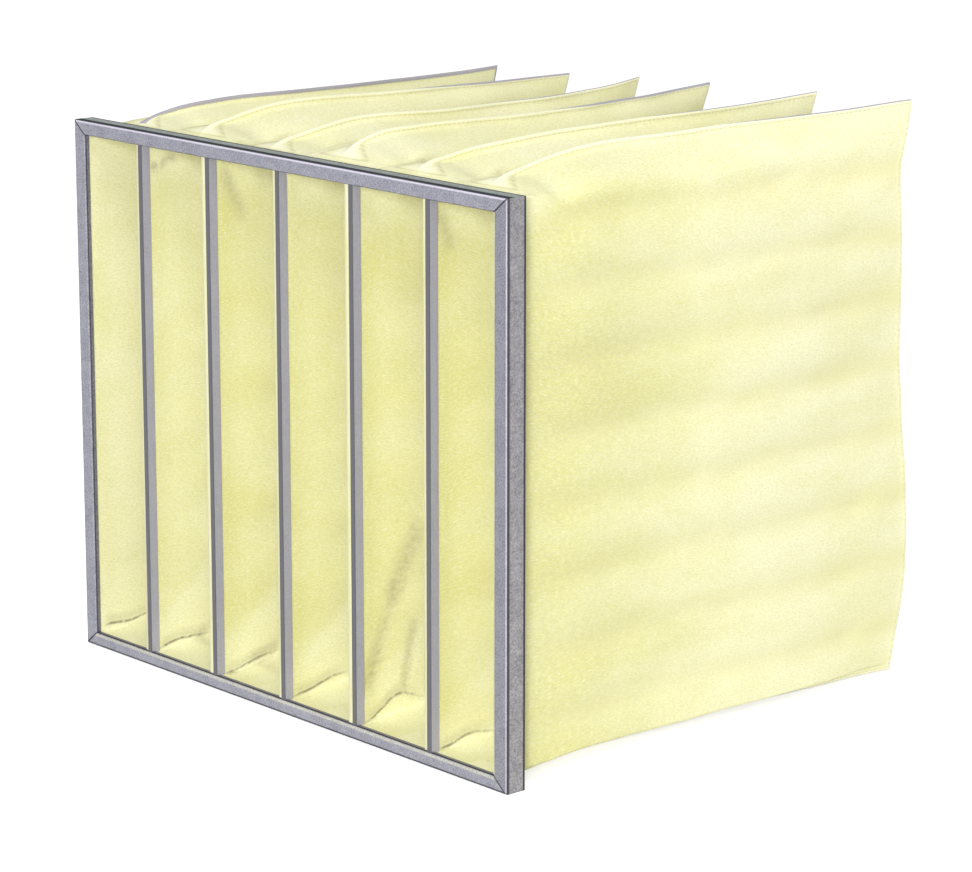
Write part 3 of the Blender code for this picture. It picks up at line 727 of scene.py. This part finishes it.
def pocketSkin(index, shares, inward, skip=1):
    # Closed rings of a pocket. shares run from 0 at the mouth to 1 at the tip. inward is the wall
    # at each ring for the lining, or None for the outer skin. Returns points, uv and marks.
    shape, places = pocketShape, pocketMarks
    depth = mouth["hemFront"] + shares * (overallLength - mouth["hemFront"])
    behind = np.maximum(depth - header["depth"], 0)
    along = behind / (overallLength - header["depth"])
    opened = smoothStep(behind / shape["openLength"])
    risen = smoothStep(behind / shape["topOpenLength"])
    nearShoulder, farShoulder = shape["topShoulder"]
    growthStart, growthEnd = shape["shoulderGrowth"]
    grown = smoothStep((depth - growthStart) / (growthEnd - growthStart))
    topShoulder = nearShoulder + (farShoulder - nearShoulder) * grown
    opening = (opened, risen, smoothStep(behind / shape["roundLength"]), topShoulder)
    ridge = header["top"] + smoothCurve(depth, shape["ridgeDepths"], shape["ridgeHeights"][index])
    high = np.where(behind > 0, ridge, mouth["high"])
    seamLow = shape["bottomFront"] + (shape["bottomRear"] - shape["bottomFront"]) * along
    low = mouth["low"] + (seamLow - mouth["low"]) * opened

    left = mouth["left"] if index == 0 else dividerX[index - 1] + touchGap / 2
    right = mouth["right"] if index == pocketCount - 1 else dividerX[index] - touchGap / 2
    center = (left + right) / 2
    middle = center + shape["tipLean"][index] * along ** shape["taperPower"]
    narrowing = np.clip(1 - (along / shape["taperEnd"]) ** shape["taperPower"], 0, 1)

    # The rear edge is rounded over its last ring or two
    roundStart = 1 - shape["tipRound"]
    tipRound = np.sqrt(np.clip(1 - np.clip((shares - roundStart) / shape["tipRound"], 0, 1) ** 2, 0.03, 1))
    seamHalf = shape["seamHalf"]
    seamHeight = shape["seamHeight"]
    sides = []
    for sign, edge, isOuter in ((1, right, index == pocketCount - 1), (-1, left, index == 0)):
        full = abs(edge - center) + (shape["sideFlare"] * opened if isOuter else 0)
        half = seamHalf + (full - seamHalf) * narrowing
        if inward is None:
            halves, heights, wallLow = sideProfile(
                shape, low, high, half, seamHeight, seamHalf, opening, skip
            )
        else:
            roll = hump(depth, shape["hemRollDepth"], shape["hemRollSoftness"])
            turned = shape["hemRoll"][index] * roll if sign > 0 else 0
            inner = np.maximum(half - inward - turned, shape["leastInner"] * half)
            liningLow = low + inward + opened * seamHeight
            liningHigh = high - inward - opened * seamHeight
            halves, heights, wallLow = sideProfile(
                shape, liningLow, liningHigh, inner, *shape["liningSeam"], opening, skip
            )
        sides.append((sign, halves, heights, half, wallLow, isOuter))

    points, marks = [], []
    for sign, halves, heights, half, wallLow, isOuter in sides:
        d = np.repeat(depth[:, None], halves.shape[1], 1)
        a = np.repeat(along[:, None], halves.shape[1], 1)
        o = np.repeat(opened[:, None], halves.shape[1], 1)
        share = (heights - low[:, None]) / (high - low)[:, None]
        seed = 11 * index + (5 if sign > 0 else 0)
        furrow = quilting(d, heights, seed)
        room = growing(a, *places["room"])
        free = halves / np.maximum(half[:, None], 1e-6)
        depthLimit = np.minimum(shape["grooveDepth"], 0.35 * half)[:, None]
        push = -depthLimit * o * furrow * free
        # Broad slackness, small puckers near the grooves, and gathers that fade behind the header
        push += shape["slack"] * room * free * clouds(d, heights, 0.15, seed + 1, 1.8)
        puckers = clouds(d, heights, 0.035, seed + 2, 1.3) * (0.4 + furrow)
        push += shape["pucker"] * room * free * puckers
        gather = hump(d, *places["gather"]) * o
        upper = growing(share, *places["upper"])
        lower = fading(share, *places["lower"])
        gathers = (0.5 - 0.5 * clouds(d, heights, 0.030, seed + 3, 3.2)) * (0.2 if isOuter else 1)
        push -= shape["gather"] * gather * (0.5 * upper + 0.6 * lower) * free * gathers
        # Folds inside the mouth: a furrow along the arch, and single ones
        fold, arch, reach = np.zeros_like(heights), np.zeros_like(heights), np.zeros_like(heights)
        if inward is not None:
            arch, reach, fold = mouthFolds(index, sign, d, heights, free, wallLow, seed)
            push += shape["foldDepth"] * reach * hump(arch, 0, places["archSoftness"]) * free
            push += shape["foldDepth"] * fold * free
        slimmed = np.clip(halves + push, 0.25 * halves, None)
        if inward is None:
            slimmed = slimmed * tipRound[:, None]
        # The seams wander a little from side to side
        nearTop, nearBottom = places["seamNear"]
        edgeNear = hump(share, 1, nearTop) + hump(share, 0, nearBottom)
        sway = clouds(d[:, :1], d[:, :1] * 0, 0.11, seed // 11 + 70) * smoothStep(a / 0.2)
        sway = shape["sway"] * sway
        hang = shape["hang"] * smoothStep((a - 0.55) / 0.45) * clouds(heights, heights * 0, 0.30, index + 90)
        x = middle[:, None] + sign * slimmed + sway * edgeNear + hang
        setback = smoothCurve(share, shape["rearHeights"], shape["rearSetbacks"]) * a**2
        setback += 0.0012 * a**4 * clouds(heights, heights * 0, 0.09, index + 130)
        y = header["front"] + d - setback
        points.append(np.stack([x, y, heights], -1))
        # Painted shade in the quilting's grooves, strongest near both ends
        strong = 0.35 + 0.65 * np.clip(np.abs(2 * a - 0.9), 0, 1)
        crease = np.clip(furrow, 0, 1) ** 1.5 * o * strong
        # Painted shade in the hollows of the gathers behind the header
        hollow = np.clip(gathers - 0.45, 0, 1) * 1.5
        gathered = hump(d, *places["gatherShade"]) * hollow
        darkShade = gathered * (0.10 + 0.25 * upper + 0.5 * lower) * 0.7
        below = high[:, None] - heights
        # Between pockets, painted shade at the valley's foot
        if not isOuter:
            darkShade = darkShade * 0.4 + valleyShade(index, d, heights, below, seed)
        fromEdge = np.minimum(high[:, None] - heights, heights - low[:, None])
        fromTip = (1 - a) * (overallLength - header["depth"])
        rim = np.minimum(fromEdge, fromTip) * 1000 + 10 * fading(d, *places["hemEnd"])
        run = np.where(fromTip < fromEdge, heights, d) * 1000
        if inward is None:
            shade, darkening = skinShade(sign, isOuter, d, heights, below)
            darkShade = darkShade + darkening
            fade = 1 if index == 0 else growing(a, *places["edgeBand"])
            broad = shape["edgeWidth"][index] * fade * (0.12 + 0.88 * risen[:, None])
            edge = rim / np.maximum(broad, 0.3) + 2 * (1 - fade)
        else:
            shade = innerShade(index, sign, d, heights)
            rim, edge = rim * 0 + 20, rim * 0 + 20
            # Painted shade along the single folds
            darkShade = darkShade * 0.4 + fold
        shade = np.broadcast_to(shade, heights.shape)
        marks.append(np.stack([crease, darkShade, arch * 1000, reach, shade, rim, run, edge], -1))
    rightPoints, leftPoints = points
    ring = np.concatenate([rightPoints, leftPoints[:, -2:0:-1]], 1)
    # Row 0 and the last row lie on the seam's edge, midway between the two sides
    last = rightPoints.shape[1] - 1
    for row in (0, last):
        ring[:, row] = (rightPoints[:, row] + leftPoints[:, row]) / 2
    ringMarks = np.concatenate([marks[0], marks[1][:, -2:0:-1]], 1)
    count = ring.shape[1]
    step = np.linalg.norm(np.diff(ring, axis=1), axis=2)
    around = np.concatenate([np.zeros((len(ring), 1)), np.cumsum(step, 1)], 1)
    across = np.mean(around, 0)[None, :] * np.ones((len(ring), 1))
    uv = np.stack([np.repeat(depth[:, None], count, 1) + index * 0.7, across], -1)
    return ring, uv, ringMarks


def makePocket(index):
    shape = pocketShape
    skinShares = np.concatenate([
        np.linspace(0, 0.2, 52)[:-1],
        np.linspace(0.2, 0.985, shape["rings"] - 62)[:-1],
        0.985 + 0.015 * np.linspace(0, 1, 11) ** 0.7,
    ])
    liningShares = np.concatenate([np.linspace(0, 0.2, 60)[:-1], np.linspace(0.2, shape["cavityEnd"], 42)])
    depth = mouth["hemFront"] + liningShares * (overallLength - mouth["hemFront"])
    growth = smoothStep((depth - header["depth"]) / shape["wallGrowth"])
    walls = shape["hem"] + (shape["wall"] - shape["hem"]) * growth
    skin, skinUv, skinMarks = pocketSkin(index, skinShares, None)
    lining, liningUv, liningMarks = pocketSkin(index, liningShares, walls, shape["liningSkip"])
    skinCount, liningCount = skin.shape[1], lining.shape[1]
    start = skin.shape[0] * skinCount
    faces = ringQuads(skin.shape[0], skinCount, 0, True)
    faces += slitCap(start - skinCount, skinCount, True)
    faces += ringQuads(lining.shape[0], liningCount, start, False)
    faces += slitCap(start + (lining.shape[0] - 1) * liningCount, liningCount, False)
    faces += mouthRim(skinCount, liningCount, start)
    points = np.concatenate([skin.reshape(-1, 3), lining.reshape(-1, 3)])
    uv = np.concatenate([skinUv.reshape(-1, 2), liningUv.reshape(-1, 2) + (0.31, 0)])
    keys = ("crease", "darkShade", "arch", "archReach", "shade", "rim", "run", "edge")
    marks = np.concatenate([skinMarks.reshape(-1, len(keys)), liningMarks.reshape(-1, len(keys))])
    attributes = {key: marks[:, i] for i, key in enumerate(keys)}
    piece = makePiece(f"media_pocket_{index + 1}", points, faces, media, uv, attributes)
    print(piece.name, len(piece.data.polygons), "faces")
    return piece


def mouthRim(skinCount, liningCount, start):
    # Joins the skin's first ring to the lining's: each lining point serves several skin points
    share = skinCount // liningCount
    j = np.arange(skinCount)
    k = j // share
    following = (j + 1) % skinCount
    nextK = (following // share) % liningCount
    same = k == nextK
    triangles = np.stack([j[same], following[same], start + k[same]], -1).tolist()
    quads = np.stack([j[~same], following[~same], start + nextK[~same], start + k[~same]], -1).tolist()
    return triangles + quads


pockets = []
for index in range(pocketCount):
    pocket = makePocket(index)
    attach(pocket, "root")
    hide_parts(f"pocket_{index + 1}")
    pockets.append(pocket)
print("pockets made")


# Floor, light and camera

studio = {
    "floorColor": (0.90, 0.90, 0.90),
    "floorGlow": 0.66,              # added for camera, glossy and transmission rays only
    "floorReach": 15.0,
    "floorDrop": 0.0006,            # how far below the part it lies
    "worldStrength": 0.36,
    "lampTarget": (0, 0, 0.24),
    # Lamps: name, azimuth and elevation in degrees, distance, size, watts
    "lamps": (
        ("keyLamp", 41, 13, 6.0, 1.9, 227),
        ("topLamp", 40, 62, 5.0, 2.4, 95),
        ("sideLamp", 122, 18, 4.0, 2.2, 6),
    ),
}


def directRays(tree):
    # 1 for the rays that show the background itself, straight or in metal and glass
    seen = addNode(tree, "ShaderNodeLightPath")
    direct = calc(tree, "MAXIMUM", seen.outputs["Is Camera Ray"], seen.outputs["Is Glossy Ray"])
    return calc(tree, "MAXIMUM", direct, seen.outputs["Is Transmission Ray"])


def makeFloor():
    material, tree, shader = newMaterial("floorWhite", studio["floorColor"], 0.9)
    shader.inputs["Specular IOR Level"].default_value = 0.0
    glow = calc(tree, "MULTIPLY", directRays(tree), studio["floorGlow"])
    shader.inputs["Emission Color"].default_value = (1, 1, 1, 1)
    tree.links.new(glow, shader.inputs["Emission Strength"])
    size, below = studio["floorReach"], -studio["floorDrop"]
    corners = [(-size, -size, below), (size, -size, below), (size, size, below), (-size, size, below)]
    floor = makePiece("floor", np.array(corners), [[0, 1, 2, 3]], material)


def makeWorld():
    world = bpy.data.worlds.new("studio")
    bpy.context.scene.world = world
    world.use_nodes = True
    tree = world.node_tree
    background = tree.nodes["Background"]
    background.inputs["Color"].default_value = (1, 1, 1, 1)
    level = remap(tree, directRays(tree), 0, 1, studio["worldStrength"], 1.0)
    tree.links.new(level, background.inputs["Strength"])


def heading(azimuth, elevation):
    # Unit vector from the part towards an azimuth and elevation in degrees, 0 being the front
    a, e = math.radians(azimuth), math.radians(elevation)
    return np.array([math.sin(a) * math.cos(e), -math.cos(a) * math.cos(e), math.sin(e)])


def placeFacing(name, data, target, back, distance):
    # Links a lamp or camera that stands back from a target and looks at it
    thing = bpy.data.objects.new(name, data)
    thing.location = np.array(target) + back * distance
    thing.rotation_mode = "QUATERNION"
    thing.rotation_quaternion = Vector(-back).to_track_quat("-Z", "Y")
    bpy.context.scene.collection.objects.link(thing)
    return thing


def addLamp(name, azimuth, elevation, distance, size, power):
    lamp = bpy.data.lights.new(name, "AREA")
    lamp.shape, lamp.size, lamp.energy = "DISK", size, power
    placeFacing(name, lamp, studio["lampTarget"], heading(azimuth, elevation), distance)


viewpoint = {
    "azimuth": 49.0655,
    "elevation": 12.9036,
    "distance": 3.31579,
    "target": (-0.01737, 0.0, 0.20770),
    "lens": 135.56,
    "sensor": 36.0,
    "clipEnd": 100,
}


def makeCamera():
    data = bpy.data.cameras.new("camera")
    data.lens, data.sensor_width = viewpoint["lens"], viewpoint["sensor"]
    data.clip_end = viewpoint["clipEnd"]
    back = heading(viewpoint["azimuth"], viewpoint["elevation"])
    camera = placeFacing("camera", data, viewpoint["target"], back, viewpoint["distance"])
    bpy.context.scene.camera = camera


makeFloor()
makeWorld()
for lampValues in studio["lamps"]:
    addLamp(*lampValues)
makeCamera()
bpy.context.scene.view_settings.view_transform = "Standard"
print("stage made")

for index, pocket in enumerate(pockets):
    carriers = ["retainer_top", "retainer_bottom"]
    carriers += ["retainer_left"] if index == 0 else [f"divider_clip_{index}"]
    carriers += ["retainer_right"] if index == pocketCount - 1 else [f"divider_clip_{index + 1}"]
